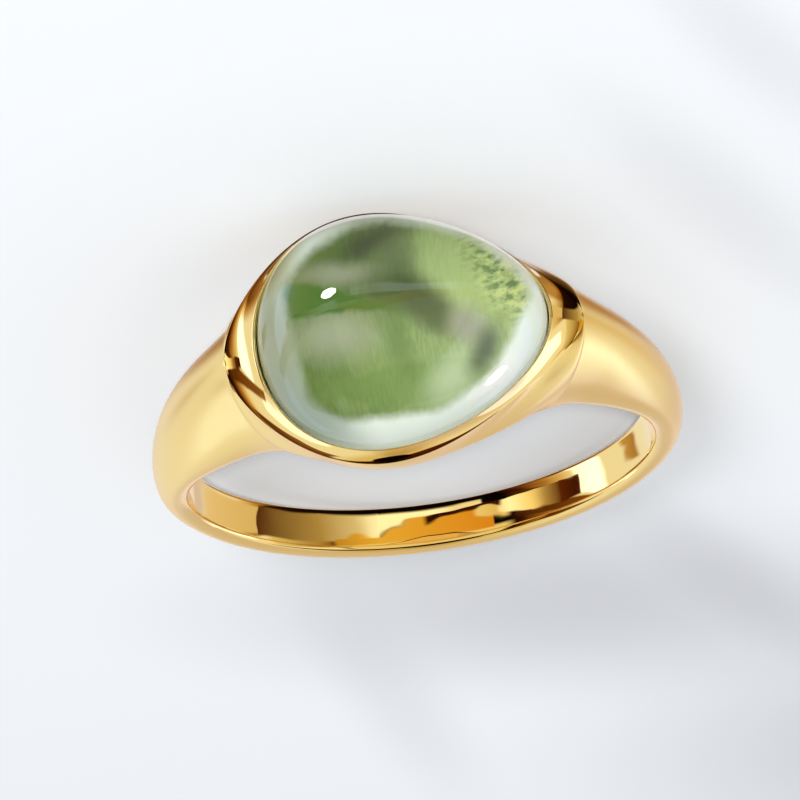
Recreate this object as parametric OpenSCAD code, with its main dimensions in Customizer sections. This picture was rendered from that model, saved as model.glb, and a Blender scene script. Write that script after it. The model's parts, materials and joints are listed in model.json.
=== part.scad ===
// Crystal ring: a cast metal ring whose shoulders rise to an eye-shaped head,
// with one oval domed crystal set in it. It lies on its side, as it rests by itself.

/* [Finger hole] */
// Diameter of the finger hole
bore_d = 17.3; // [15:0.1:20]

/* [Shank] */
// Width of the shank at the bottom, along the finger
shank_w = 1.88; // [1.6:0.02:2.6]
// Thickness of the shank at the bottom
shank_t = 1.15; // [1.1:0.05:2]
// Width that the shoulders reach beside the head
shoulder_w = 4.6; // [4:0.02:4.8]
// How much fuller the left shoulder is than the right one
shoulder_egg = 0.12; // [0:0.01:0.2]
// Width of the metal over the finger, under the head
head_base_w = 7.9; // [7.4:0.1:8.1]

/* [Head] */
// Length of the head between its two pointed ends
head_len = 12.7; // [12.4:0.1:13.2]
// Width of the head at its middle
head_w = 9.3; // [9.2:0.1:10]
// Height of the head's edge over the hole's axis, at its middle
edge_z = 10.85; // [10.7:0.05:11]
// Drop of the head's edge towards its two ends
edge_drop = 0.5; // [0.3:0.1:0.9]
// How pointed the two ends are
end_point = 0.33; // [0.25:0.01:0.45]
// How much fuller the left end is than the right one
head_egg = 0.27; // [0.1:0.01:0.3]
// Hollow of the rim band between the edge and the crystal
rim_hollow = 0.12; // [0:0.02:0.2]

/* [Crystal] */
// Length of the crystal
stone_len = 10.2; // [9.8:0.02:10.4]
// Width of the crystal at its middle
stone_w = 8.4; // [8:0.02:8.5]
// How much fuller its left end is than the right one
stone_egg = 0.2; // [0.1:0.01:0.22]
// Height of the dome above the rim
dome_h = 3.4; // [2.5:0.1:4.2]
// Height of the rim's inner edge over the hole's axis
rim_z = 11.35; // [11.2:0.01:11.5]
// Height of the seat under the crystal over the hole's axis
seat_z = 10.2; // [10.15:0.01:10.25]
// Clearance between the crystal and the metal
stone_gap = 0.05; // [0.04:0.01:0.08]

/* [Hidden] */

gold = "#e6bd63";
crystal = "#9fb878";

bore_r = bore_d / 2;
head_steps = 48;            // stations from one end of the head to the other
shank_steps = 72;           // stations round the rest of the ring
steps = head_steps + shank_steps;
loop = 2 * head_steps;      // points round the head's edge
round_steps = 4;            // points of the rounded inner edge
crown_steps = 12;           // points of the outer curve
rail = round_steps + crown_steps;

edge_round = 0.3;           // depth of the rounded inner edge, across the ring
edge_rise = 0.5;            // height of the rounded inner edge, out from the hole
inside_cut = 0.35;          // stock inside the hole, which the bore removes
quarter = 0.5523;           // handle length that makes a Bezier curve a quarter ellipse
flare_from = 62;            // angles from the bottom of the ring
flare_to = 170;
base_from = 138;
rise_from = 69;
rise_power = 2.1;           // how late the shoulders rise to the head
wall_h = 1.3;               // handle length of the head's upright outer wall
wall_lean = 96;             // angle at which that wall meets the edge
wall_from = 0.85;           // share of the head's width where that wall stands upright
lean = 50;                  // outward lean of the head's underside
rim_lip = 0.07;             // width of the small bevel round the crystal
lip_drop = 0.16;            // height of that bevel
rim_rows = 4;
dome_rows = 14;
stone_points = 96;
girdle_drop = 0.22;         // the crystal's widest line lies this far under the rim
base_bevel = 0.25;
side_lean = 2.2;            // sideways lean of the resting ring

// Easing from 0 to 1 while v goes from a to b
function ease(a, b, v) = let (u = min(1, max(0, (v - a) / (b - a)))) u * u * (3 - 2 * u);
function mix(a, b, f) = a + (b - a) * f;
function bezier(a, b, c, d, f) =
    a * pow(1 - f, 3) + b * 3 * f * pow(1 - f, 2) + c * 3 * f * f * (1 - f) + d * pow(f, 3);

// Width of an egg-shaped loop at the angle t, which is 0 at its narrow end
function egg_y(t, egg) = sin(t) * (1 - egg * cos(t));

// Outer edge of the head
function edge_point(t) = [
    head_len / 2 * cos(t),
    -head_w / 2 * egg_y(t, head_egg) * (1 - end_point * pow(cos(t), 2)),
    edge_z - edge_drop * pow(cos(t), 2)];

tip = edge_point(0);
tip_angle = atan2(tip[0], -tip[2]);
tip_r = norm([tip[0], tip[2]]);

// Stations run from one end of the head over it to the other, then down and round
function on_head(j) = j > 0 && j < head_steps;
function head_angle(j) = 180 * j / head_steps;
function station_angle(j) =
    j <= head_steps
        ? let (p = edge_point(head_angle(j))) atan2(p[0], -p[2])
        : let (f = (j - head_steps) / shank_steps) mix(-tip_angle, tip_angle, f);

// Half of the ring's width at the angle v from the bottom, negative on the left
function half_w(v) =
    mix(shank_w / 2, shoulder_w / 2 * (1 - shoulder_egg * sin(v)), ease(flare_from, flare_to, abs(v)))
    + (head_base_w - shoulder_w) / 2 * ease(base_from, 180, abs(v));
function crown_r(v) =
    bore_r + mix(shank_t, tip_r - bore_r, pow(2 * ease(rise_from, 2 * tip_angle - rise_from, abs(v)), rise_power));

// Half section of a station: [distance from the axis, distance from the middle plane]
function half_section(j) =
    let (v = station_angle(j),
         p = edge_point(head_angle(j)),
         head = on_head(j),
         w = half_w(v),
         low = [bore_r + edge_rise * 0.9, w],
         top = head ? [norm([p[0], p[2]]), abs(p[1])] : [crown_r(v), 0],
         up = ease(0, wall_from, top[1] / (head_w / 2)),
         out_way = [cos(lean * up), sin(lean * up)],
         top_way = [sin(wall_lean * up), -cos(wall_lean * up)],
         h0 = mix(quarter * (top[0] - low[0]), norm(top - low) * 0.4, up),
         h1 = mix(quarter * max(w - top[1], 0), wall_h, up))
    [for (k = [0 : rail])
        k == 0 ? [bore_r - inside_cut, w - edge_round] :
        k < round_steps
            ? let (a = 90 - 90 * k / round_steps)
              [low[0] - edge_rise * sin(a), w - edge_round * (1 - cos(a))]
            : bezier(low, low + out_way * h0, top - top_way * h1, top, (k - round_steps) / crown_steps)];

function placed(p, v, side) = [p[0] * sin(v), side * p[1], -p[0] * cos(v)];

sections = [for (j = [0 : steps - 1]) half_section(j)];
skin = [for (j = [0 : steps - 1]) each [
    for (side = [-1, 1]) each [for (p = sections[j]) placed(p, station_angle(j), side)]]];

// Index of the skin's point k at a station; both sides share the crown's point
function skin_id(j, side, k) =
    let (i = j % steps, own = side > 0 && !(k == rail && !on_head(i)))
    i * 2 * (rail + 1) + (own ? rail + 1 + k : k);

// Oval loop round the crystal, grown by g, at the height z
function oval(g, z) = [for (m = [0 : loop - 1])
    let (t = head_angle(m))
    [(stone_len / 2 + g) * cos(t), -(stone_w / 2 + g) * egg_y(t, stone_egg), z]];

inner_edge = oval(stone_gap + rim_lip, rim_z);
rim = [for (row = [1 : rim_rows]) each [for (m = [0 : loop - 1])
    let (f = row / rim_rows, p = edge_point(head_angle(m)), q = inner_edge[m])
    mix(p, q, f) - [0, 0, rim_hollow * norm(q - p) * 4 * f * (1 - f)]]];
recess = concat(oval(stone_gap, rim_z - lip_drop), oval(stone_gap, seat_z));

body_points = concat(skin, rim, recess);
rim_start = len(skin);
rim_loops = rim_rows + 2;

// Index of point m of a loop on the head's top, where loop 0 is the outer edge
function top_id(row, m) =
    let (i = m % loop)
    row > 0 ? rim_start + (row - 1) * loop + i :
    i <= head_steps ? skin_id(i, -1, rail) : skin_id(loop - i, 1, rail);

function quad(a, b, c, d) = [[a, b, c], [a, c, d]];
function flipped(faces, flip) = [for (f = faces) flip ? [f[2], f[1], f[0]] : f];

skin_faces = [for (j = [0 : steps - 1], side = [-1, 1], k = [0 : rail - 1]) each
    flipped(quad(skin_id(j, side, k), skin_id(j + 1, side, k),
                 skin_id(j + 1, side, k + 1), skin_id(j, side, k + 1)), side > 0)];
bore_faces = [for (j = [0 : steps - 1]) each
    quad(skin_id(j, -1, 0), skin_id(j, 1, 0), skin_id(j + 1, 1, 0), skin_id(j + 1, -1, 0))];
top_faces = [for (row = [0 : rim_loops - 1], m = [0 : loop - 1]) each
    quad(top_id(row, m), top_id(row, m + 1), top_id(row + 1, m + 1), top_id(row + 1, m))];
floor_faces = [for (m = [1 : loop - 2])
    [top_id(rim_loops, 0), top_id(rim_loops, m), top_id(rim_loops, m + 1)]];

// Crystal: flat base, short upright girdle, then the dome
function stone_loop(scale_xy, z) = [for (m = [0 : stone_points - 1])
    let (t = 360 * m / stone_points)
    [stone_len / 2 * scale_xy * cos(t), -stone_w / 2 * scale_xy * egg_y(t, stone_egg), z]];
girdle_z = rim_z - girdle_drop;
base_z = seat_z + stone_gap;
dome_top = rim_z + dome_h;
stone_points_list = concat(
    stone_loop(1 - 2 * base_bevel / stone_len, base_z),
    stone_loop(1, base_z + base_bevel),
    [for (row = [0 : dome_rows - 1]) let (a = 90 * row / dome_rows) each
        stone_loop(cos(a), mix(girdle_z, dome_top, sin(a)))],
    [[0, 0, dome_top]]);
stone_loops = dome_rows + 2;
function stone_id(row, m) = row * stone_points + m % stone_points;
stone_faces = concat(
    [for (m = [1 : stone_points - 2]) [stone_id(0, 0), stone_id(0, m + 1), stone_id(0, m)]],
    [for (row = [0 : stone_loops - 2], m = [0 : stone_points - 1]) each
        quad(stone_id(row, m), stone_id(row, m + 1), stone_id(row + 1, m + 1), stone_id(row + 1, m))],
    [for (m = [0 : stone_points - 1])
        [stone_id(stone_loops - 1, m), stone_id(stone_loops - 1, m + 1), stone_loops * stone_points]]);

// The ring lies on its side: the head's side and the shank's bottom touch the ground.
// The fuller left end makes it lean a little, about the line through both.
function laid(p, t) =
    let (x = -p[0], y = -p[2] * cos(t) - p[1] * sin(t), z = p[2] * sin(t) - p[1] * cos(t))
    [x * cos(side_lean) - z * sin(side_lean), y, x * sin(side_lean) + z * cos(side_lean)];
function lowest(points, t) = min([for (p = points) laid(p, t)[2]]);
head_side = [for (p = skin) if (p[2] > 0) p];
shank_side = [for (p = skin) if (p[2] < 0) p];
function rest_tilt(lo, hi, n) =
    let (t = (lo + hi) / 2)
    n == 0 ? t :
    lowest(head_side, t) < lowest(shank_side, t) ? rest_tilt(t, hi, n - 1) : rest_tilt(lo, t, n - 1);
tilt = rest_tilt(0, 30, 20);
resting = [for (p = concat(skin, stone_points_list)) laid(p, tilt)];
function middle(axis) =
    (max([for (p = resting) p[axis]]) + min([for (p = resting) p[axis]])) / 2;
rest_offset = [-middle(0), -middle(1), -lowest(skin, tilt)];

module lying() {
    translate(rest_offset) rotate([0, -side_lean, 0]) rotate([90 - tilt, 0, 0]) rotate([0, 0, 180])
        children();
}

module ring_body() {
    color(gold) lying() difference() {
        polyhedron(points = body_points,
                   faces = concat(skin_faces, bore_faces, top_faces, floor_faces),
                   convexity = 10);
        rotate([90, 0, 0]) cylinder(h = 4 * head_w, r = bore_r, center = true, $fn = 180);
    }
}

module cabochon() {
    color(crystal) lying() polyhedron(points = stone_points_list, faces = stone_faces, convexity = 2);
}

ring_body();
cabochon();
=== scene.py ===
"""Crystal ring: a cast, gold-plated ring with one domed green crystal, lying on its side.

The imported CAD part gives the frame. The ring's metal and the crystal are modelled again here
with smooth surfaces, in the same places, and a thin mossy layer lies inside the crystal.
"""
import json

from math import asin, atan2, cos, hypot, pi, radians, sin

import bmesh
import bpy
from bpy.props import FloatProperty, FloatVectorProperty, PointerProperty
from mathutils import Matrix, Vector


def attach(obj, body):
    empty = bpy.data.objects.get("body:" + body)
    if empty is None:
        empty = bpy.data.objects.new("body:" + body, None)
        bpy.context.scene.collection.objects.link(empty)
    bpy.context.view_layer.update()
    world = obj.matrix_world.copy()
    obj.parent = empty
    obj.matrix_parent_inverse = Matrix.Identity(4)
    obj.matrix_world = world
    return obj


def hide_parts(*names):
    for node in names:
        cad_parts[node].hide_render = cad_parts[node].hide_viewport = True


bl_info = {
    "name": "Crystal Ring",
    "version": (1, 0, 0),
    "blender": (4, 5, 0),
    "location": "View3D > Sidebar > Crystal Ring",
    "description": "Models a gold-plated ring with a domed green crystal",
    "category": "Object",
}

MM = 0.001
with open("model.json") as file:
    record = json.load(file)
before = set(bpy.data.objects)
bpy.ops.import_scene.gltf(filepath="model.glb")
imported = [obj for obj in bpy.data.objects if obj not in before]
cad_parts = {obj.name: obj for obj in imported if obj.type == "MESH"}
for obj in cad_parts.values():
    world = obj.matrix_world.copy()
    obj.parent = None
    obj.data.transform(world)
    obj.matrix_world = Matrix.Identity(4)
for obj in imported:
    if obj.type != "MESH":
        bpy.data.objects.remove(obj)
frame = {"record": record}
HOLE = frame["record"]["mounts"][0]


def ring_to_row():
    """The matrix from the ring's own axes to the frame's.

    The ring's X runs from one end of the head to the other, its Y along the finger, its Z to the crystal.
    """
    out = Vector(HOLE["axis"]).normalized()
    lean = atan2(-out.x, out.z)
    x = Vector((-cos(lean), 0, -sin(lean)))
    y = -out
    turn = Matrix((x, y, x.cross(y))).transposed().to_4x4()
    return Matrix.Translation(Vector(HOLE["pos_m"])) @ turn


LYING = ring_to_row()

# ---- The studio --------------------------------------------------------------------------

# The walls that the metal mirrors, by the angle in degrees from the camera's side, which grows to the
# picture's left: dark behind the camera, then warm, then white
ROOM = [
    (-172, "#dcd2cc"), (-158, "#dccfcc"), (-146, "#e0d4dc"), (-136, "#eeeae8"), (-128, "#f8f8f8"),
    (-110, "#f8f8f8"), (-102, "#e2cfa9"), (-92, "#b49050"), (-76, "#8a5c20"), (-60, "#5c3410"),
    (-47, "#2c1404"), (-38, "#080402"), (38, "#080402"), (46, "#3a1608"), (54, "#86562a"),
    (61, "#b4884c"), (69, "#e0c090"), (77, "#f8f0e4"), (86, "#fafcfe"), (158, "#f8fafc")]
BACK_WALL = "#dcd2cc"
# Tints over the walls, and the heights in degrees between which they come in
CEILING, CEILING_EDGE = "#e6d6a4", (48, 72)
TABLE, TABLE_EDGE = "#c49a5c", (-36, -44)
# Cards in the room: from and to angle from the camera's side, lower edge at both, upper edge at both,
# softness beside, below and above it, colours at both
CARDS = [
    # for the rim's right end: a warm white wall that ends in gold, over a dark table
    ((-112, -80), (-2, -18), (26, 14), (10, 5, 7), "#ffffff", "#fffaf0"),
    ((-80, -50), (-20, -16), (20, 10), (6, 4, 8), "#e4d8a8", "#a27c38"),
    ((-112, -50), (29, 14), (35, 46), (8, 2, 4), "#fffdf4", "#fffdf4"),
    ((-86, -28), (-90, -90), (-29, -13), (7, 1, 5), "#241004", "#080200"),
    # for the rim's left end: a dark curtain above and a dark shelf that tapers away
    ((62, 110), (11, 30), (48, 52), (5, 4, 6), "#5a2c10", "#8a6434"),
    ((78, 150), (-90, -90), (-48, -46), (8, 1, 5), "#5a2c10", "#9a6c38"),
    ((119, 129), (-29, -29), (-25, -25), (6, 2, 2), "#c4a064", "#b48c50"),
    ((46, 78), (-20, -9.5), (-8, -3), (6, 2, 3), "#3c1c06", "#7c4a1c"),
    ((78, 107), (-9.5, -3), (-3, 1), (1, 2, 3), "#7c4a1c", "#8a6030"),
    # for the rim's lower side: a dark ceiling, and a pale wall under it
    ((-40, 36), (-2, -2), (46, 46), (6, 4, 8), "#f4e6c0", "#f4e6c0"),
    ((-112, 0), (38, 64), (91, 91), (6, 4, 1), "#5a2408", "#080202"),
    ((0, 66), (64, 44), (91, 91), (5, 4, 1), "#080202", "#3c1404"),
    ((-180, 180), (79, 79), (91, 91), (1, 2, 1), "#060202", "#060202"),
    # for the finger hole's wall: from gold over cream to orange, a dark line between them, a brown end
    ((-135, -91), (-33, -29), (-22, -20), (4, 3, 3), "#efdcc0", "#e2cfa9"),
    ((-90, -53), (-30, -23), (-18, -11), (0.7, 3, 3), "#5a3620", "#b49e6d"),
    ((-53, -24), (-23, -19), (-11, -9.5), (0.5, 4, 3), "#b49e6d", "#f5f0e4"),
    ((-24, 26), (-18.5, -17.5), (-11.2, -13.6), (1, 4, 1), "#fbf6e6", "#fffbf0"),
    ((-44, -24), (-11.7, -10), (-3, -3), (3, 0.7, 2), "#cfa040", "#f0c458"),
    ((-24, 31), (-10, -14), (-3, -3), (1, 0.7, 2), "#f0c458", "#e49c34"),
    ((24, 37), (-12.6, -13.6), (-9.6, -9.6), (3, 0.8, 1), "#f4e8b8", "#e8ce94"),
    ((36, 51), (-14.8, -15), (-10.5, -11), (3, 0.6, 0.6), "#fff8e4", "#e6cc90"),
    ((51, 68), (-15, -17.5), (-11, -12), (1, 0.6, 0.8), "#e6cc90", "#5c2c10"),
    ((68, 79), (-17.8, -18), (-12, -14.5), (1, 1, 3), "#5c2c10", "#3c1406"),
    ((0, 34), (-11.4, -15.2), (-9.6, -12.8), (3, 0.6, 0.7), "#2c1004", "#3c1404"),
    # the table right under the ring
    ((-180, 180), (-90, -90), (-64, -64), (1, 1, 14), "#3a2612", "#3a2612"),
    # the floor behind the ring
    ((160, 190), (-60, -60), (-8, -8), (8, 8, 8), "#f8ecf4", "#f8ecf4"),
    ((-190, -160), (-60, -60), (-8, -8), (8, 8, 8), "#f8ecf4", "#f8ecf4")]
# Daylight panels: the same edges and softness, then the strength
PANELS = [
    ((80, 95), (-44, -44), (-14, -8), (4, 5, 1.5), 1.8),
    ((104, 142), (0, 20), (9, 29), (4, 3, 3), 1.1),
    ((-150, -98), (9, -1), (18, 10), (5, 3, 3), 1.6),
    ((-26, 4), (-18, -18), (-11, -13), (10, 3, 1), 0.8),
    ((40, 54), (-18, -18), (-8, -8), (6, 3, 3), 1.0)]
DAYLIGHT = "#a4c4ff"
# Plain light for all that isn't a mirror
AMBIENT, AMBIENT_STRENGTH = "#f8fafe", 0.72

# Soft lamps: place, width and height in metres, power in watts, and the one object that it lights, if not all
SPOT = (-0.2165, 0.146, 0.1477)
LAMPS = [
    ("key", (0.12, -0.4, 0.17), 0.15, 0.15, 1.8, None),
    # fill light on the floor alone, so the ring's shadows on it stay faint
    ("floor_fill", (-0.022, -0.84, 0.54), 0.1, 0.1, 9.5, "floor"),
    # a window, and a spot with a glow round it, which only the crystal mirrors
    ("window", (0.180, -0.219, -0.098), 0.05, 0.03, 0.15, "crystal_dome"),
    ("spot", SPOT, 0.055, 0.055, 0.35, "crystal_dome"),
    ("glow", SPOT, 0.14, 0.14, 0.06, "crystal_dome")]

FLOOR_SIZE = 3.0
# Painted shadows on the floor, as soft grey patches: the ring's soft shadow below it, the darker far corner,
# and thin streaks of shade, in millimetres: centre, half length and half width, turn and strength
PAINTED_SHADOWS = [
    (-5, 20, 11, 5, -10, 0.65), (-22, 34, 12, 9, 0, 0.7), (2.5, 26, 8, 1.6, 104, 0.25),
    (-12, 20, 7, 1.6, 120, 0.4), (-12, -7, 7, 1.6, 120, 0.25), (-13, -17, 6, 1.4, 120, 0.25)]
PAINTED_SHADOW_SOFTNESS = 0.9

# The photograph's view: the camera's place in millimetres, its turn in degrees, focal length and sensor width
CAMERA_PLACE = (-4.364, -167.5967, 107.8383)
CAMERA_TURN = (-57.6972, -4.1903, 175.7043)
LENS, SENSOR = 243.95, 36


# ---- Sizes and colours -------------------------------------------------------------------


def colour(code):
    """Linear colour of an sRGB hex value."""
    parts = [int(code[k:k + 2], 16) / 255 for k in (1, 3, 5)]
    return [c / 12.92 if c <= 0.04045 else ((c + 0.055) / 1.055) ** 2.4 for c in parts] + [1.0]


def length(name, description, mm):
    """A size that the user can change, given in millimetres."""
    return FloatProperty(name=name, description=description, default=mm * MM, unit="LENGTH", precision=5)


def ratio(name, description, value):
    """A share between 0 and 1 that the user can change."""
    return FloatProperty(name=name, description=description, default=value, subtype="FACTOR", min=0, max=1)


def tint(name, description, code):
    """A colour that the user can change, given in hex."""
    return FloatVectorProperty(name=name, description=description, default=colour(code), subtype="COLOR",
                               size=4, min=0, max=1)


class RingSizes(bpy.types.PropertyGroup):
    """Sizes of the ring, the same as the CAD part's"""

    bore: length("Finger hole radius", "Radius of the finger hole", HOLE["dims"]["r_mm"])
    shank_width: length("Shank width", "Width of the shank at the bottom", 1.88)
    shank_depth: length("Shank thickness", "Thickness of the shank at the bottom", 1.15)
    shoulder_width: length("Shoulder width", "Width that the shoulders reach beside the head", 4.6)
    shoulder_egg: ratio("Shoulder fullness", "How much fuller the left shoulder is", 0.12)
    base_width: length("Head base width", "Width of the metal over the finger, under the head", 7.9)
    head_length: length("Head length", "Length of the head between its two pointed ends", 12.7)
    head_width: length("Head width", "Width of the head at its middle", 9.3)
    edge_height: length("Edge height", "Height of the head's edge over the hole's axis", 10.85)
    edge_drop: length("Edge drop", "Drop of the head's edge towards its ends", 0.5)
    end_point: ratio("Pointed ends", "How pointed the two ends are", 0.33)
    head_egg: ratio("Head fullness", "How much fuller the left end is than the right one", 0.27)
    rim_hollow: ratio("Rim hollow", "Hollow of the rim band between the edge and the crystal", 0.12)
    rim_height: length("Rim height", "Height of the rim's inner edge over the hole's axis", 11.35)
    seat_height: length("Seat height", "Height of the seat under the crystal", 10.2)
    stone_gap: length("Clearance", "Clearance between the crystal and the metal", 0.05)


class CrystalSizes(bpy.types.PropertyGroup):
    """Sizes of the crystal, the same as the CAD part's"""

    long: length("Crystal length", "Length of the crystal", 10.2)
    wide: length("Crystal width", "Width of the crystal at its middle", 8.4)
    egg: ratio("Crystal fullness", "How much fuller its left end is than the right one", 0.2)
    dome: length("Dome height", "Height of the dome above the rim", 3.4)
    girdle_drop: length("Girdle drop", "Distance of the widest line under the rim", 0.22)
    bevel: length("Base bevel", "Bevel round the crystal's flat base", 0.25)


class RingColours(bpy.types.PropertyGroup):
    """Colours of the ring and of the floor under it"""

    gold: tint("Gold", "Gold plating", "#f6d98e")
    quartz: tint("Quartz", "Clear quartz of the dome", "#f8fdf8")
    moss_deep: tint("Deep moss", "Dark threads on the crystal's deep side", "#566f30")
    moss_fresh: tint("Fresh moss", "Light threads on the crystal's deep side", "#708c46")
    moss_dull: tint("Dull moss", "Dark threads on the crystal's pale side", "#98b072")
    moss_pale: tint("Pale moss", "Light threads on the crystal's pale side", "#b6cc90")
    # milky quartz round the moss, painted near-white: partly its own pale colour, partly a painted glow for
    # the crescent of light that the dome focuses on its edge
    milk_and_glow: tint("Milky quartz and glow", "Milky quartz and glow beside the moss", "#f6fffa")
    floor: tint("Floor", "Matte floor", "#cbcdcf")
    # grey of the painted shadows on the floor
    floor_shadow_grey: tint("Grey floor", "Matte floor in its painted shadows", "#a2a3a6")


# ---- Shape of the ring, in its own axes, in metres ---------------------------------------

# A station is one section of the ring. Angles round the ring start at its bottom
HEAD = 96  # stations from one end of the head to the other
SHANK = 132  # stations round the rest of the ring
INNER_EDGE = (0.3 * MM, 0.5 * MM)  # rounded inner edge: depth across the ring, height out from the hole
EDGE_CUT = 0.9  # share of its height where the hole's wall cuts the rounding off
LIP = (0.07 * MM, 0.16 * MM)  # bevel round the crystal: width and height
WIDENING = (radians(62), radians(170))  # where the shank starts to widen, and ends
BASE_START = radians(138)  # where the head's base starts to stand out
RISE_START = radians(69)  # where the shank starts to rise to the head's end
RISE_POWER = 2.1  # how late it rises
QUARTER = 0.5523  # handle length of a quarter circle
# The head's side wall: how far its foot leans out from upright, and its direction at the head's edge, where
# 90 degrees is upright and more leans out
FOOT_LEAN, WALL_LEAN = radians(50), radians(96)
FOOT_HANDLE, WALL_HANDLE = 0.4, 1.3 * MM  # handles of its curve: a share of its height, and a length
WALL_WHOLE = 0.85  # share of the head's half width from which it is whole
# Rows of corners over the inner edge, up the side, and over the rim. The last ones keep the edges sharp
EDGE_ROWS = 5
SIDE_ROWS = [k / 18 for k in range(18)] + [0.987, 1]
RIM_ROWS = [0.05, 0.2, 0.4, 0.6, 0.8, 0.95, 1]
SHARP = 0.1 * MM  # distance of the rows that keep the recess's corners sharp
WELD = 0.002 * MM  # corners nearer than this become one where the two sides meet
# The mossy layer: share of the crystal's width, height of its middle over the base, half its thickness
MOSS_SHARE, MOSS_RISE, MOSS_HALF = 0.985, 0.4 * MM, 0.1 * MM


def ease(a, b, v):
    """0 up to a, 1 from b, and a soft step between them."""
    u = min(1, max(0, (v - a) / (b - a)))
    return u * u * (3 - 2 * u)


def mix(a, b, f):
    """From a at 0 to b at 1."""
    return a + (b - a) * f


def bezier(a, b, c, d, f):
    """The point of a curve from a to d with the handles b and c."""
    return a * (1 - f) ** 3 + b * 3 * f * (1 - f) ** 2 + c * 3 * f * f * (1 - f) + d * f**3


def egg(t, fullness):
    """Width of an egg-shaped loop at the angle t, which is 0 at its narrow end."""
    return sin(t) * (1 - fullness * cos(t))


def head_edge(s, t):
    """A point of the head's outer edge."""
    c = cos(t)
    return Vector((s.head_length / 2 * c,
                   -s.head_width / 2 * egg(t, s.head_egg) * (1 - s.end_point * c * c),
                   s.edge_height - s.edge_drop * c * c))


def reach_and_angle(p):
    """Distance of a point from the hole's axis, and its angle from the bottom of the ring."""
    return hypot(p.x, p.z), atan2(p.x, -p.z)


def station_angle(s, j):
    """The angle of a station round the hole. Stations run over the head first."""
    if j <= HEAD:
        return reach_and_angle(head_edge(s, pi * j / HEAD))[1]
    end = reach_and_angle(head_edge(s, 0))[1]
    return mix(-end, end, (j - HEAD) / SHANK)


def half_width(s, v):
    """Half of the ring's width at the angle v."""
    shank = s.shank_width / 2
    shoulder = s.shoulder_width / 2 * (1 - s.shoulder_egg * sin(v))
    base = (s.base_width - s.shoulder_width) / 2
    return mix(shank, shoulder, ease(*WIDENING, abs(v))) + base * ease(BASE_START, pi, abs(v))


def crown_radius(s, v):
    """Distance of the shank's crown from the hole's axis."""
    reach, end = reach_and_angle(head_edge(s, 0))
    rise = (2 * ease(RISE_START, 2 * end - RISE_START, abs(v))) ** RISE_POWER
    return s.bore + mix(s.shank_depth, reach - s.bore, rise)


def half_section(s, j, row):
    """A point of a station's half section: distance from the hole's axis and from the middle plane.

    Rows run from the middle of the hole's wall over the rounded inner edge to the crown or the head's edge.
    """
    v = station_angle(s, j)
    w = half_width(s, v)
    depth, height = INNER_EDGE
    low = Vector((s.bore + height * EDGE_CUT, w))
    if row == 0:
        return Vector((s.bore, 0))
    if row <= EDGE_ROWS:
        a = mix(asin(EDGE_CUT), 0, (row - 1) / EDGE_ROWS)
        return Vector((low.x - height * sin(a), w - depth * (1 - cos(a))))
    if 0 < j < HEAD:
        p = head_edge(s, pi * j / HEAD)
        top = Vector((hypot(p.x, p.z), abs(p.y)))
    else:
        top = Vector((crown_radius(s, v), 0))
    up = ease(0, WALL_WHOLE, top.y / (s.head_width / 2))
    foot, wall = FOOT_LEAN * up, WALL_LEAN * up
    low_handle = mix(QUARTER * (top.x - low.x), (top - low).length * FOOT_HANDLE, up)
    top_handle = mix(QUARTER * max(w - top.y, 0), WALL_HANDLE, up)
    return bezier(low, low + Vector((cos(foot), sin(foot))) * low_handle,
                  top - Vector((sin(wall), -cos(wall))) * top_handle, top, SIDE_ROWS[row - EDGE_ROWS - 1])


def side_point(s, j, row):
    """A point of the ring's side, from the hole's wall to the crown or the head's edge."""
    r, y = half_section(s, j, row)
    v = station_angle(s, j)
    return Vector((r * sin(v), -y, -r * cos(v)))


def oval(s, c, grow, z, j):
    """A point of the oval round the crystal, grown by grow, at the height z."""
    t = pi * j / HEAD
    return Vector(((c.long / 2 + grow) * cos(t), -(c.wide / 2 + grow) * egg(t, c.egg), z))


def rim_point(s, c, j, f):
    """A point of the coved rim band, from the head's edge at 0 to the crystal's lip at 1."""
    p = head_edge(s, pi * j / HEAD)
    q = oval(s, c, s.stone_gap + LIP[0], s.rim_height, j)
    return p.lerp(q, f) - Vector((0, 0, s.rim_hollow * (q - p).length * 4 * f * (1 - f)))


def crystal_point(c, p, share, z):
    """A unit sphere's point p, put on a share of the crystal's egg-shaped outline at the height z."""
    away = hypot(p.x, p.y)
    fullness = 1 - c.egg * p.x / away if away > 1e-6 else 1  # the pole has no direction
    return Vector((c.long / 2 * share * p.x, c.wide / 2 * share * p.y * fullness, z))


# ---- Modelling helpers -------------------------------------------------------------------


def start(operator, name, **settings):
    """Adds a primitive with nothing else selected, names it and opens it in edit mode."""
    bpy.ops.object.select_all(action="DESELECT")
    operator(**settings)
    piece = bpy.context.active_object
    piece.name = piece.data.name = name
    bpy.ops.object.mode_set(mode="EDIT")
    return piece


def number(piece):
    """Numbers the corners of the piece that is open in edit mode, and lists their places."""
    bm = bmesh.from_edit_mesh(piece.data)
    station = bm.verts.layers.int.new("station")
    for j, v in enumerate(bm.verts):
        v[station] = j
    places = [v.co.copy() for v in bm.verts]
    bmesh.update_edit_mesh(piece.data)
    return places


def shape(piece, place):
    """Moves every selected corner of the piece that is open in edit mode to place(its number)."""
    bm = bmesh.from_edit_mesh(piece.data)
    station = bm.verts.layers.int["station"]
    for v in bm.verts:
        if v.select:
            v.co = place(v[station])
    bmesh.update_edit_mesh(piece.data)


def extrude(piece, place):
    """Extrudes the selected edges and moves the new corners, which keep their numbers."""
    bpy.ops.mesh.extrude_region()
    shape(piece, place)


def close():
    """Closes the open edge that is selected, and turns all faces outwards."""
    bpy.ops.mesh.edge_face_add()
    bpy.ops.mesh.select_all(action="SELECT")
    bpy.ops.mesh.normals_make_consistent(inside=False)
    bpy.ops.object.mode_set(mode="OBJECT")


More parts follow.
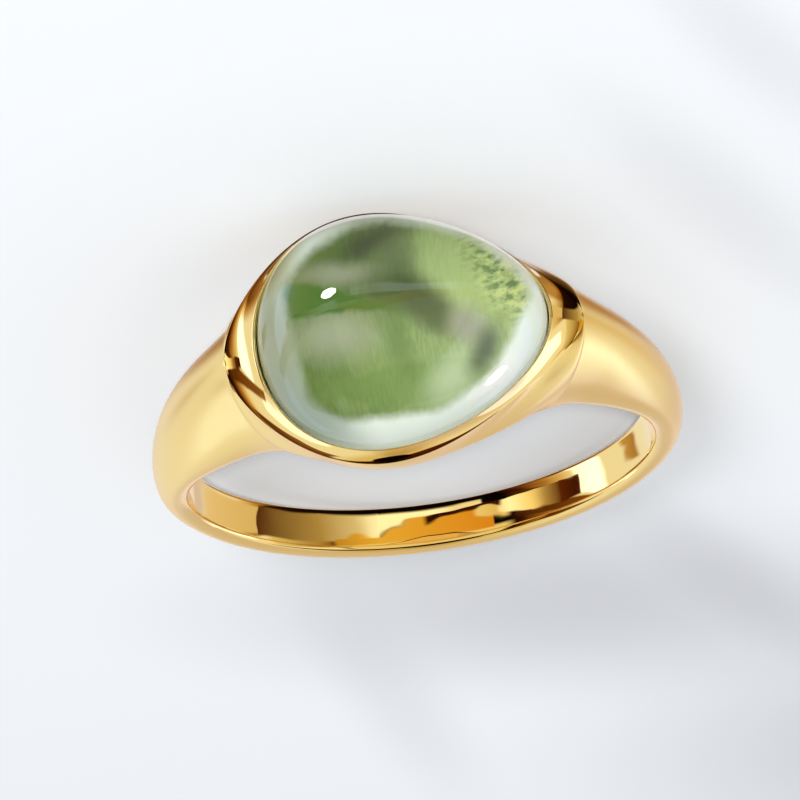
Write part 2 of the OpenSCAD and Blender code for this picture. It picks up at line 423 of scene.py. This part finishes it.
def modifier(piece, kind, **settings):
    """Adds a modifier with its settings and applies it."""
    m = piece.modifiers.new(kind.title(), kind)
    for key, value in settings.items():
        setattr(m, key, value)
    bpy.ops.object.modifier_apply(modifier=m.name)


def finish_piece(piece, material, node):
    """Puts a piece that is modelled in the ring's own axes in its place, and gives it its finish."""
    piece.matrix_world = LYING
    bpy.ops.object.transform_apply(location=True, rotation=True, scale=True)
    piece.data.materials.clear()
    piece.data.materials.append(material)
    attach(piece, "root")
    if node:
        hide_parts(node)


# ---- Materials ---------------------------------------------------------------------------


def add(tree, kind, inputs=(), **settings):
    """Adds a node with its settings. An input is a value, or the socket that it comes from."""
    made = tree.nodes.new(kind)
    for key, value in settings.items():
        setattr(made, key, value)
    for key, value in dict(inputs).items():
        if isinstance(key, int):
            socket = made.inputs[key]
        else:
            socket = next(i for i in made.inputs if i.name == key and i.enabled)
        if isinstance(value, bpy.types.NodeSocket):
            tree.links.new(value, socket)
        else:
            socket.default_value = value
    return made


def new_material(name):
    """An empty material and its node tree."""
    material = bpy.data.materials.new(name)
    material.use_nodes = True
    tree = material.node_tree
    tree.nodes.clear()
    return material, tree


def ring_place(tree):
    """Object coordinates in the ring's own axes, in millimetres."""
    back = LYING.inverted()
    place = add(tree, "ShaderNodeTexCoord").outputs["Object"]
    return add(tree, "ShaderNodeMapping", {"Vector": place, "Location": back.translation / MM,
                                           "Rotation": back.to_euler(), "Scale": (1 / MM,) * 3}).outputs[0]


def fade(tree, value, start, end):
    """0 at start and 1 at end, softly."""
    return add(tree, "ShaderNodeMapRange", {"Value": value, "From Min": start, "From Max": end},
               interpolation_type="SMOOTHSTEP").outputs[0]


def spots(tree, place, size, detail):
    """Noise with spots of about the given size, in the units of the place."""
    near = add(tree, "ShaderNodeMapping", {"Vector": place, "Scale": [1 / v for v in size]}).outputs[0]
    return add(tree, "ShaderNodeTexNoise", {"Vector": near, "Scale": 1.0, "Detail": detail}).outputs


def patch(tree, place, x, y, long, wide, turn, soft, unit=1.0):
    """1 in an oval patch and 0 beside it: centre, half length and half width in units, turn, softness."""
    near = add(tree, "ShaderNodeMapping", {
        "Vector": place, "Location": (x * unit, y * unit, 0), "Rotation": (0, 0, radians(turn)),
        "Scale": (long * unit, wide * unit, 1000 * unit)}, vector_type="TEXTURE").outputs[0]
    away = add(tree, "ShaderNodeVectorMath", {0: near}, operation="LENGTH").outputs["Value"]
    return fade(tree, away, 1 + soft, 1 - soft)


# Gold plating, in millimetres: polished from just under the head's edge upwards, and close to the hole's wall
RIM_POLISH, HOLE_POLISH = (-0.06, -0.01), (0.5, 0.2)
POLISHED, SATIN = 0.03, (0.27, 0.33)  # roughness
SATIN_SPOTS, WAVES, WAVE_HEIGHT = (0.5, 0.5, 0.5), (1.6, 1.2, 1.6), 0.02


def gold_plating(s, paint):
    """Gold plating: a mirror on the rim and in the finger hole, where it is a little wavy, and satin on the
    shoulders."""
    material, tree = new_material("polished_gold_plating")
    place = ring_place(tree)
    x, _, z = add(tree, "ShaderNodeSeparateXYZ", {0: place}).outputs
    # The height over the hole's axis, raised towards the head's ends by as much as the edge drops there
    square = add(tree, "ShaderNodeMath", {0: x, 1: x}, operation="MULTIPLY").outputs[0]
    drop = s.edge_drop * MM / (s.head_length / 2) ** 2
    level = add(tree, "ShaderNodeMath", {0: square, 1: drop, 2: z}, operation="MULTIPLY_ADD").outputs[0]
    rim = fade(tree, level, *(s.edge_height / MM + d for d in RIM_POLISH))
    flat = add(tree, "ShaderNodeVectorMath", {0: place, 1: (1, 0, 1)}, operation="MULTIPLY").outputs[0]
    away = add(tree, "ShaderNodeVectorMath", {0: flat}, operation="LENGTH").outputs["Value"]
    hole = fade(tree, away, *(s.bore / MM + d for d in HOLE_POLISH))
    shine = add(tree, "ShaderNodeMath", {0: rim, 1: hole}, operation="MAXIMUM").outputs[0]
    haze = spots(tree, place, SATIN_SPOTS, 4)["Fac"]
    satin = add(tree, "ShaderNodeMapRange", {
        "Value": haze, "To Min": SATIN[0], "To Max": SATIN[1]}).outputs[0]
    rough = add(tree, "ShaderNodeMix", {"Factor": shine, "A": satin, "B": POLISHED}).outputs[0]
    waves = spots(tree, place, WAVES, 1)["Fac"]
    waves = add(tree, "ShaderNodeMath", {0: waves, 1: hole}, operation="MULTIPLY").outputs[0]
    wavy = add(tree, "ShaderNodeBump", {
        "Height": waves, "Strength": 1.0, "Distance": WAVE_HEIGHT * MM}).outputs[0]
    shader = add(tree, "ShaderNodeBsdfPrincipled", {
        "Base Color": paint.gold, "Metallic": 1.0, "Roughness": rough, "Normal": wavy})
    add(tree, "ShaderNodeOutputMaterial", {"Surface": shader.outputs[0]})
    return material


def clear_quartz(paint):
    """Polished quartz: clear with a faint green tint."""
    material, tree = new_material("clear_green_quartz")
    shader = add(tree, "ShaderNodeBsdfPrincipled", {
        "Base Color": paint.quartz, "Metallic": 0.0, "Roughness": 0.02, "IOR": 1.54,
        "Transmission Weight": 1.0})
    add(tree, "ShaderNodeOutputMaterial", {"Surface": shader.outputs[0]})
    return material


# The mossy layer, in ring millimetres. Patches in the milky quartz and in the moss: centre, half length and
# half width, turn, softness, colour and strength
GROUND = [
    (-4.2, -0.2, 1.6, 3.4, 0, 0.5, "#a4aa8c", 1.0), (-3.0, -2.2, 1.4, 0.9, -50, 0.8, "#9aaa9c", 0.9),
    (0.0, 3.6, 4.0, 0.7, 0, 0.6, "#b4baa2", 0.9), (-3.2, 2.7, 1.3, 0.5, 48, 0.7, "#a2ac6c", 0.8),
    # painted glow: this white patch at the lower right stands in for the hot spot of light that the dome
    # focuses there
    (2.75, -1.5, 0.9, 0.6, 35, 0.9, "#ffffff", 1.0)]
GROWTH = [
    (2.2, 1.2, 1.6, 1.1, -30, 0.9, "#b4ca86", 0.8), (-0.3, -1.4, 2.2, 0.8, 0, 0.9, "#7e9a50", 0.7),
    (1.2, -1.3, 0.9, 0.5, 35, 0.9, "#c6d8ae", 0.9), (-1.9, 2.2, 0.9, 0.4, 25, 0.9, "#5c7638", 0.9),
    (-0.5, 2.4, 0.85, 0.42, 12, 0.9, "#3a422e", 0.95), (0.0, 1.9, 0.6, 0.45, -50, 0.95, "#66764c", 0.9),
    # the two grey patches here, above and below the green wedge, are painted reflections of two soft boxes on
    # the dome
    (-1.5, 1.72, 1.0, 0.26, -12, 0.9, "#a0a48e", 0.9), (-2.0, 0.1, 1.0, 0.62, 0, 0.95, "#a6ae92", 0.95),
    (0.5, 0.8, 1.15, 0.5, -34, 0.7, "#32461a", 0.95), (0.9, 0.3, 0.45, 0.45, 0, 0.9, "#4a5e2e", 0.8),
    (-0.35, 1.0, 0.9, 0.42, -15, 0.95, "#4a5e2c", 0.95), (-0.2, -0.1, 0.4, 0.8, 10, 0.95, "#5c7c30", 0.7),
    (1.85, 0.05, 0.5, 0.42, -20, 0.9, "#a3a294", 0.95), (2.2, -0.6, 0.68, 0.32, 55, 0.9, "#4f5f42", 0.95),
    (-2.9, 2.2, 0.7, 0.2, 48, 0.8, "#8fa03c", 0.8)]
# The wedge of clear green at the left, and the edges that the moss grows to: direction outwards in degrees,
# and distance from the crystal's middle. Then how round their corners are, and where the colour starts and
# is full
WEDGE, WEDGE_SOFTNESS = [(67, 0.56), (-93, -0.58), (180, 3.3)], (0.1, 0.08, -0.1)
GROWTH_EDGES, GROWTH_SOFTNESS = [
    (183, 3.12), (228, 3.3), (270, 2.4), (300, 2.42), (325, 2.75), (0, 3.95), (50, 2.98), (69, 2.72),
    (90, 2.98), (113, 3.2), (137, 3.5)], (0.3, 0.14, -0.28)
WEDGE_GREEN = "#4c7424"
# Swirls that fray all edges: their size and reach
SWIRLS = [(0.9, 0.25), (0.2, 0.1)]
# Spots of the noise: fine threads, clouds between them and their share, and coarse grains
THREADS, CLOUDS, CLOUD_SHARE, GRAINS = (0.07, 0.4, 0.4), (0.6, 0.9, 0.9), 0.4, (0.24, 0.11, 0.2)
# The patch of coarse grains along the upper right edge, and the noise from and to which each colour comes in
GRAIN_PATCH = (3.0, 1.0, 1.4, 0.5, -48, 0.8)
GRAIN_COLOURS = [(0.5, 0.62, "#d6e294"), (0.46, 0.36, "#74905a")]


def moss(paint):
    """Mossy mineral inclusions: green threads in milky quartz, with a milky edge all round that is partly a
    painted glow of focused light, a painted glow at the lower right, and painted reflections of soft boxes as
    grey patches.
    """
    material, tree = new_material("mossy_inclusions")
    still = ring_place(tree)
    place = still
    for size, reach in SWIRLS:
        stir = spots(tree, still, (size,) * 3, 3)["Color"]
        stir = add(tree, "ShaderNodeVectorMath", {0: stir, 1: (0.5,) * 3}, operation="SUBTRACT").outputs[0]
        place = add(tree, "ShaderNodeVectorMath", {0: stir, 1: (reach,) * 3, 2: place},
                    operation="MULTIPLY_ADD").outputs[0]

    def painted(base, patches):
        """The base colour with the patches over it."""
        for *spot, code, strength in patches:
            share = add(tree, "ShaderNodeMath", {0: patch(tree, place, *spot), 1: strength},
                        operation="MULTIPLY").outputs[0]
            base = add(tree, "ShaderNodeMix", {"Factor": share, "A": base, "B": colour(code)},
                       data_type="RGBA").outputs[2]
        return base

    def within(edges, rounding, start, full):
        """1 inside all the straight edges and 0 outside one of them."""
        out = -10.0  # how far outside, in mm
        for angle, reach in edges:
            way = (cos(radians(angle)), sin(radians(angle)), 0)
            away = add(tree, "ShaderNodeVectorMath", {0: place, 1: way},
                       operation="DOT_PRODUCT").outputs["Value"]
            away = add(tree, "ShaderNodeMath", {0: away, 1: reach}, operation="SUBTRACT").outputs[0]
            out = add(tree, "ShaderNodeMath", {0: out, 1: away, 2: rounding},
                      operation="SMOOTH_MAX").outputs[0]
        return fade(tree, out, start, full)

    x = add(tree, "ShaderNodeSeparateXYZ", {0: place}).outputs[0]
    side = fade(tree, x, -2.5, 2.5)  # from the deep side at the left to the pale side at the right
    # The noise runs from about 0.3 to 0.7
    threads = fade(tree, spots(tree, still, THREADS, 4)["Fac"], 0.35, 0.65)
    clouds = fade(tree, spots(tree, still, CLOUDS, 3)["Fac"], 0.3, 0.7)
    weave = add(tree, "ShaderNodeMix", {"Factor": CLOUD_SHARE, "A": threads, "B": clouds}).outputs[0]
    dark = add(tree, "ShaderNodeMix", {"Factor": side, "A": paint.moss_deep, "B": paint.moss_dull},
               data_type="RGBA").outputs[2]
    light = add(tree, "ShaderNodeMix", {"Factor": side, "A": paint.moss_fresh, "B": paint.moss_pale},
                data_type="RGBA").outputs[2]
    growth = add(tree, "ShaderNodeMix", {"Factor": weave, "A": dark, "B": light}, data_type="RGBA").outputs[2]
    growth = painted(growth, GROWTH)
    growth = add(tree, "ShaderNodeMix", {
        "Factor": within(WEDGE, *WEDGE_SOFTNESS), "A": growth, "B": colour(WEDGE_GREEN)},
        data_type="RGBA").outputs[2]
    grains = spots(tree, still, GRAINS, 3)["Fac"]
    end = patch(tree, place, *GRAIN_PATCH)
    for low, high, code in GRAIN_COLOURS:
        share = add(tree, "ShaderNodeMath", {0: fade(tree, grains, low, high), 1: end},
                    operation="MULTIPLY").outputs[0]
        growth = add(tree, "ShaderNodeMix", {"Factor": share, "A": growth, "B": colour(code)},
                     data_type="RGBA").outputs[2]
    # the milky edge is partly a painted glow of focused light
    shade = add(tree, "ShaderNodeMix", {
        "Factor": within(GROWTH_EDGES, *GROWTH_SOFTNESS), "A": painted(paint.milk_and_glow, GROUND), "B": growth},
        data_type="RGBA").outputs[2]
    shader = add(tree, "ShaderNodeBsdfPrincipled", {"Base Color": shade, "Roughness": 0.7})
    add(tree, "ShaderNodeOutputMaterial", {"Surface": shader.outputs[0]})
    return material


def matte_floor(paint):
    """Matte card, bluish white, with soft grey painted shadows."""
    material, tree = new_material("matte_floor")
    place = add(tree, "ShaderNodeTexCoord").outputs["Object"]
    shade = paint.floor
    for *spot, strength in PAINTED_SHADOWS:
        # painted shadow: grey laid over the floor where shade falls
        painted_shadow = patch(tree, place, *spot, PAINTED_SHADOW_SOFTNESS, MM)
        share = add(tree, "ShaderNodeMath", {0: painted_shadow, 1: strength}, operation="MULTIPLY").outputs[0]
        shade = add(tree, "ShaderNodeMix", {"Factor": share, "A": shade, "B": paint.floor_shadow_grey},
                    data_type="RGBA").outputs[2]
    shader = add(tree, "ShaderNodeBsdfPrincipled", {
        "Base Color": shade, "Roughness": 0.8, "Specular IOR Level": 0.2})
    add(tree, "ShaderNodeOutputMaterial", {"Surface": shader.outputs[0]})
    return material


# ---- Operators ---------------------------------------------------------------------------


class RING_OT_metal(bpy.types.Operator):
    """Model the ring's cast metal"""

    bl_idname = "crystal_ring.metal"
    bl_label = "Ring metal"

    def execute(self, context):
        s, c = context.scene.ring_sizes, context.scene.crystal_sizes
        piece = start(bpy.ops.mesh.primitive_circle_add, "ring_metal", vertices=HEAD + SHANK, radius=s.bore)
        number(piece)
        # One side of the ring, from the middle of the hole's wall outwards
        shape(piece, lambda j: side_point(s, j, 0))
        for row in range(1, EDGE_ROWS + len(SIDE_ROWS) + 1):
            extrude(piece, lambda j: side_point(s, j, row))
        # On the head, it goes on over the rim, down the lip and the recess, and a step in on the seat
        self.keep_head(piece)
        for f in RIM_ROWS:
            extrude(piece, lambda j: rim_point(s, c, j, f))
        low = s.rim_height - LIP[1]
        for z in (low, low - SHARP, s.seat_height + SHARP, s.seat_height):
            extrude(piece, lambda j: oval(s, c, s.stone_gap, z, j))
        extrude(piece, lambda j: oval(s, c, s.stone_gap - SHARP, s.seat_height, j))
        bpy.ops.object.mode_set(mode="OBJECT")
        modifier(piece, "MIRROR", use_axis=(False, True, False), merge_threshold=WELD)
        modifier(piece, "SUBSURF", levels=1, render_levels=1)
        # The seat's middle is the only opening left
        bpy.ops.object.mode_set(mode="EDIT")
        bpy.ops.mesh.select_all(action="DESELECT")
        bpy.ops.mesh.select_mode(type="EDGE")
        bpy.ops.mesh.select_non_manifold()
        close()
        bpy.ops.object.shade_smooth()
        finish_piece(piece, gold_plating(s, context.scene.ring_colours), "ring_body")
        return {"FINISHED"}

    @staticmethod
    def keep_head(piece):
        """Leaves only the head's edge selected."""
        bm = bmesh.from_edit_mesh(piece.data)
        station = bm.verts.layers.int["station"]
        keep = [e for e in bm.edges if e.select and all(v[station] <= HEAD for v in e.verts)]
        for e in bm.edges:
            e.select = False
        for e in keep:
            e.select = True
        bmesh.update_edit_mesh(piece.data)


class RING_OT_crystal(bpy.types.Operator):
    """Model the domed crystal"""

    bl_idname = "crystal_ring.crystal"
    bl_label = "Domed crystal"

    def execute(self, context):
        s, c = context.scene.ring_sizes, context.scene.crystal_sizes
        piece = start(bpy.ops.mesh.primitive_uv_sphere_add, "crystal_dome",
                      segments=128, ring_count=96, radius=1)
        bpy.ops.mesh.select_all(action="SELECT")
        bpy.ops.mesh.bisect(plane_co=(0, 0, 0), plane_no=(0, 0, 1), clear_inner=True)
        bpy.ops.mesh.select_all(action="SELECT")
        unit = number(piece)
        base = s.seat_height + s.stone_gap
        girdle = s.rim_height - c.girdle_drop
        top = s.rim_height + c.dome - girdle
        shape(piece, lambda j: crystal_point(c, unit[j], 1, girdle + top * unit[j].z))
        bpy.ops.mesh.select_all(action="DESELECT")
        bpy.ops.mesh.select_mode(type="EDGE")
        bpy.ops.mesh.select_non_manifold()
        extrude(piece, lambda j: crystal_point(c, unit[j], 1, base + c.bevel))
        extrude(piece, lambda j: crystal_point(c, unit[j], 1 - 2 * c.bevel / c.long, base))
        close()
        bpy.ops.object.shade_smooth_by_angle(angle=radians(30))
        finish_piece(piece, clear_quartz(context.scene.ring_colours), "cabochon")
        return {"FINISHED"}


class RING_OT_inclusions(bpy.types.Operator):
    """Model the mossy layer inside the crystal"""

    bl_idname = "crystal_ring.inclusions"
    bl_label = "Mossy inclusions"

    def execute(self, context):
        s, c = context.scene.ring_sizes, context.scene.crystal_sizes
        piece = start(bpy.ops.mesh.primitive_uv_sphere_add, "moss_layer",
                      segments=96, ring_count=48, radius=1)
        bpy.ops.mesh.select_all(action="SELECT")
        unit = number(piece)
        middle = s.seat_height + s.stone_gap + MOSS_RISE
        shape(piece, lambda j: crystal_point(c, unit[j], MOSS_SHARE, middle + MOSS_HALF * unit[j].z))
        bpy.ops.object.mode_set(mode="OBJECT")
        bpy.ops.object.shade_smooth()
        finish_piece(piece, moss(context.scene.ring_colours), None)
        return {"FINISHED"}


class RING_OT_stage(bpy.types.Operator):
    """Set the floor, the lights and the camera"""

    bl_idname = "crystal_ring.stage"
    bl_label = "Floor, lights and camera"

    def execute(self, context):
        scene = context.scene
        bpy.ops.object.select_all(action="DESELECT")
        bpy.ops.mesh.primitive_plane_add(size=FLOOR_SIZE)
        floor = context.active_object
        floor.name = "floor"
        floor.data.materials.append(matte_floor(scene.ring_colours))
        floor.visible_glossy = False  # the metal mirrors the studio below the horizon too

        self.surroundings(scene)
        for lamp in LAMPS:
            self.light(*lamp)

        bpy.ops.object.camera_add(location=Vector(CAMERA_PLACE) * MM,
                                  rotation=[radians(a) for a in CAMERA_TURN])
        camera = context.active_object
        camera.name = "camera"
        camera.data.lens, camera.data.sensor_width = LENS, SENSOR
        camera.data.clip_start, camera.data.clip_end = 0.01, 20
        scene.camera = camera
        scene.view_settings.view_transform = "Standard"
        return {"FINISHED"}

    @staticmethod
    def surroundings(scene):
        """The room with its cards and daylight panels. Polished metal shows it as lines and highlights, and
        all else gets plain light."""
        world = bpy.data.worlds.new("studio")
        scene.world = world
        world.use_nodes = True
        tree = world.node_tree
        tree.nodes.clear()

        # The angle from the camera's side and the height over the horizon, in radians
        way = add(tree, "ShaderNodeTexCoord").outputs["Generated"]
        x, y, z = add(tree, "ShaderNodeSeparateXYZ", {0: way}).outputs
        front = add(tree, "ShaderNodeMath", {0: y, 1: -1.0}, operation="MULTIPLY").outputs[0]
        turn = add(tree, "ShaderNodeMath", {0: x, 1: front}, operation="ARCTAN2").outputs[0]
        height = add(tree, "ShaderNodeMath", {0: z}, operation="ARCSINE").outputs[0]

        def soft(value, start, end):
            """0 at start and 1 at end, softly, in degrees."""
            return fade(tree, value, radians(start), radians(end))

        def across(turns, first, last, **settings):
            """From first to last between the two angles."""
            return add(tree, "ShaderNodeMapRange", {
                "Value": turn, "From Min": radians(turns[0]), "From Max": radians(turns[1]),
                "To Min": first, "To Max": last}, **settings).outputs[0]

        def card(turns, lows, tops, softness):
            """1 inside a card and 0 outside it, with soft edges."""
            beside, below, above = softness
            inside = add(tree, "ShaderNodeMath", {0: soft(turn, turns[0] - beside, turns[0]),
                                                  1: soft(turn, turns[1] + beside, turns[1])},
                         operation="MULTIPLY").outputs[0]
            for heights, out in ((lows, -below), (tops, above)):
                edge = across(turns, radians(heights[0]), radians(heights[1]), clamp=False)
                over = add(tree, "ShaderNodeMath", {0: height, 1: edge}, operation="SUBTRACT").outputs[0]
                inside = add(tree, "ShaderNodeMath", {0: inside, 1: soft(over, out, 0)},
                             operation="MULTIPLY").outputs[0]
            return inside

        ramp = add(tree, "ShaderNodeValToRGB", {"Fac": across((-180, 180), 0, 1)})
        bar = ramp.color_ramp
        for angle, code in ROOM:
            bar.elements.new(angle / 360 + 0.5).color = colour(code)
        for end in (bar.elements[0], bar.elements[-1]):
            end.color = colour(BACK_WALL)
        walls = ramp.outputs["Color"]
        for code, edge in ((CEILING, CEILING_EDGE), (TABLE, TABLE_EDGE)):
            walls = add(tree, "ShaderNodeMix", {"Factor": soft(height, *edge), "A": walls, "B": colour(code)},
                        data_type="RGBA", blend_type="MULTIPLY").outputs[2]
        for *edges, first, last in CARDS:
            paint = add(tree, "ShaderNodeMix", {
                "Factor": across(edges[0], 0, 1), "A": colour(first), "B": colour(last)},
                data_type="RGBA").outputs[2]
            walls = add(tree, "ShaderNodeMix", {"Factor": card(*edges), "A": walls, "B": paint},
                        data_type="RGBA").outputs[2]
        glow = 0.0
        for *edges, strength in PANELS:
            glow = add(tree, "ShaderNodeMath", {0: card(*edges), 1: strength, 2: glow},
                       operation="MULTIPLY_ADD").outputs[0]
        daylight = add(tree, "ShaderNodeMix", {"Factor": 1.0, "A": walls, "B": colour(DAYLIGHT)},
                       data_type="RGBA", blend_type="MULTIPLY").outputs[2]
        room = add(tree, "ShaderNodeBackground", {"Color": walls, "Strength": 1.0}).outputs[0]
        panels = add(tree, "ShaderNodeBackground", {"Color": daylight, "Strength": glow}).outputs[0]
        mirrored = add(tree, "ShaderNodeAddShader", {0: room, 1: panels}).outputs[0]
        plain = add(tree, "ShaderNodeBackground", {
            "Color": colour(AMBIENT), "Strength": AMBIENT_STRENGTH}).outputs[0]
        mirror_ray = add(tree, "ShaderNodeLightPath").outputs["Is Glossy Ray"]
        seen = add(tree, "ShaderNodeMixShader", {0: mirror_ray, 1: plain, 2: mirrored}).outputs[0]
        add(tree, "ShaderNodeOutputWorld", {"Surface": seen})

    @staticmethod
    def light(name, place, wide, high, power, only):
        """Adds a soft oval lamp that points at the ring. It lights one object alone, or all of them, and then
        nothing mirrors it."""
        bpy.ops.object.light_add(type="AREA", location=place)
        lamp = bpy.context.active_object
        lamp.name = name
        lamp.rotation_euler = (-Vector(place)).to_track_quat("-Z", "Y").to_euler()
        lamp.data.shape, lamp.data.size, lamp.data.size_y, lamp.data.energy = "ELLIPSE", wide, high, power
        if only:
            lit = bpy.data.collections.new(name + "_lights")
            lit.objects.link(bpy.data.objects[only])
            lamp.light_linking.receiver_collection = lit
        else:
            lamp.visible_glossy = False


class RING_PT_panel(bpy.types.Panel):
    """Crystal ring"""

    bl_label = "Crystal Ring"
    bl_space_type = "VIEW_3D"
    bl_region_type = "UI"
    bl_category = "Crystal Ring"

    def draw(self, context):
        for group in (context.scene.ring_sizes, context.scene.crystal_sizes, context.scene.ring_colours):
            for key in group.bl_rna.properties.keys():
                if key not in ("rna_type", "name"):
                    self.layout.prop(group, key)
        for operator in OPERATORS:
            self.layout.operator(operator.bl_idname)


OPERATORS = (RING_OT_metal, RING_OT_crystal, RING_OT_inclusions, RING_OT_stage)
CLASSES = (RingSizes, CrystalSizes, RingColours) + OPERATORS + (RING_PT_panel,)


def register():
    for cls in CLASSES:
        bpy.utils.register_class(cls)
    bpy.types.Scene.ring_sizes = PointerProperty(type=RingSizes)
    bpy.types.Scene.crystal_sizes = PointerProperty(type=CrystalSizes)
    bpy.types.Scene.ring_colours = PointerProperty(type=RingColours)


def unregister():
    del bpy.types.Scene.ring_colours, bpy.types.Scene.crystal_sizes, bpy.types.Scene.ring_sizes
    for cls in reversed(CLASSES):
        bpy.utils.unregister_class(cls)


def main():
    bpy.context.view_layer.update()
    register()
    bpy.ops.crystal_ring.metal()
    bpy.ops.crystal_ring.crystal()
    bpy.ops.crystal_ring.inclusions()
    bpy.ops.crystal_ring.stage()


if __name__ == "__main__":
    main()
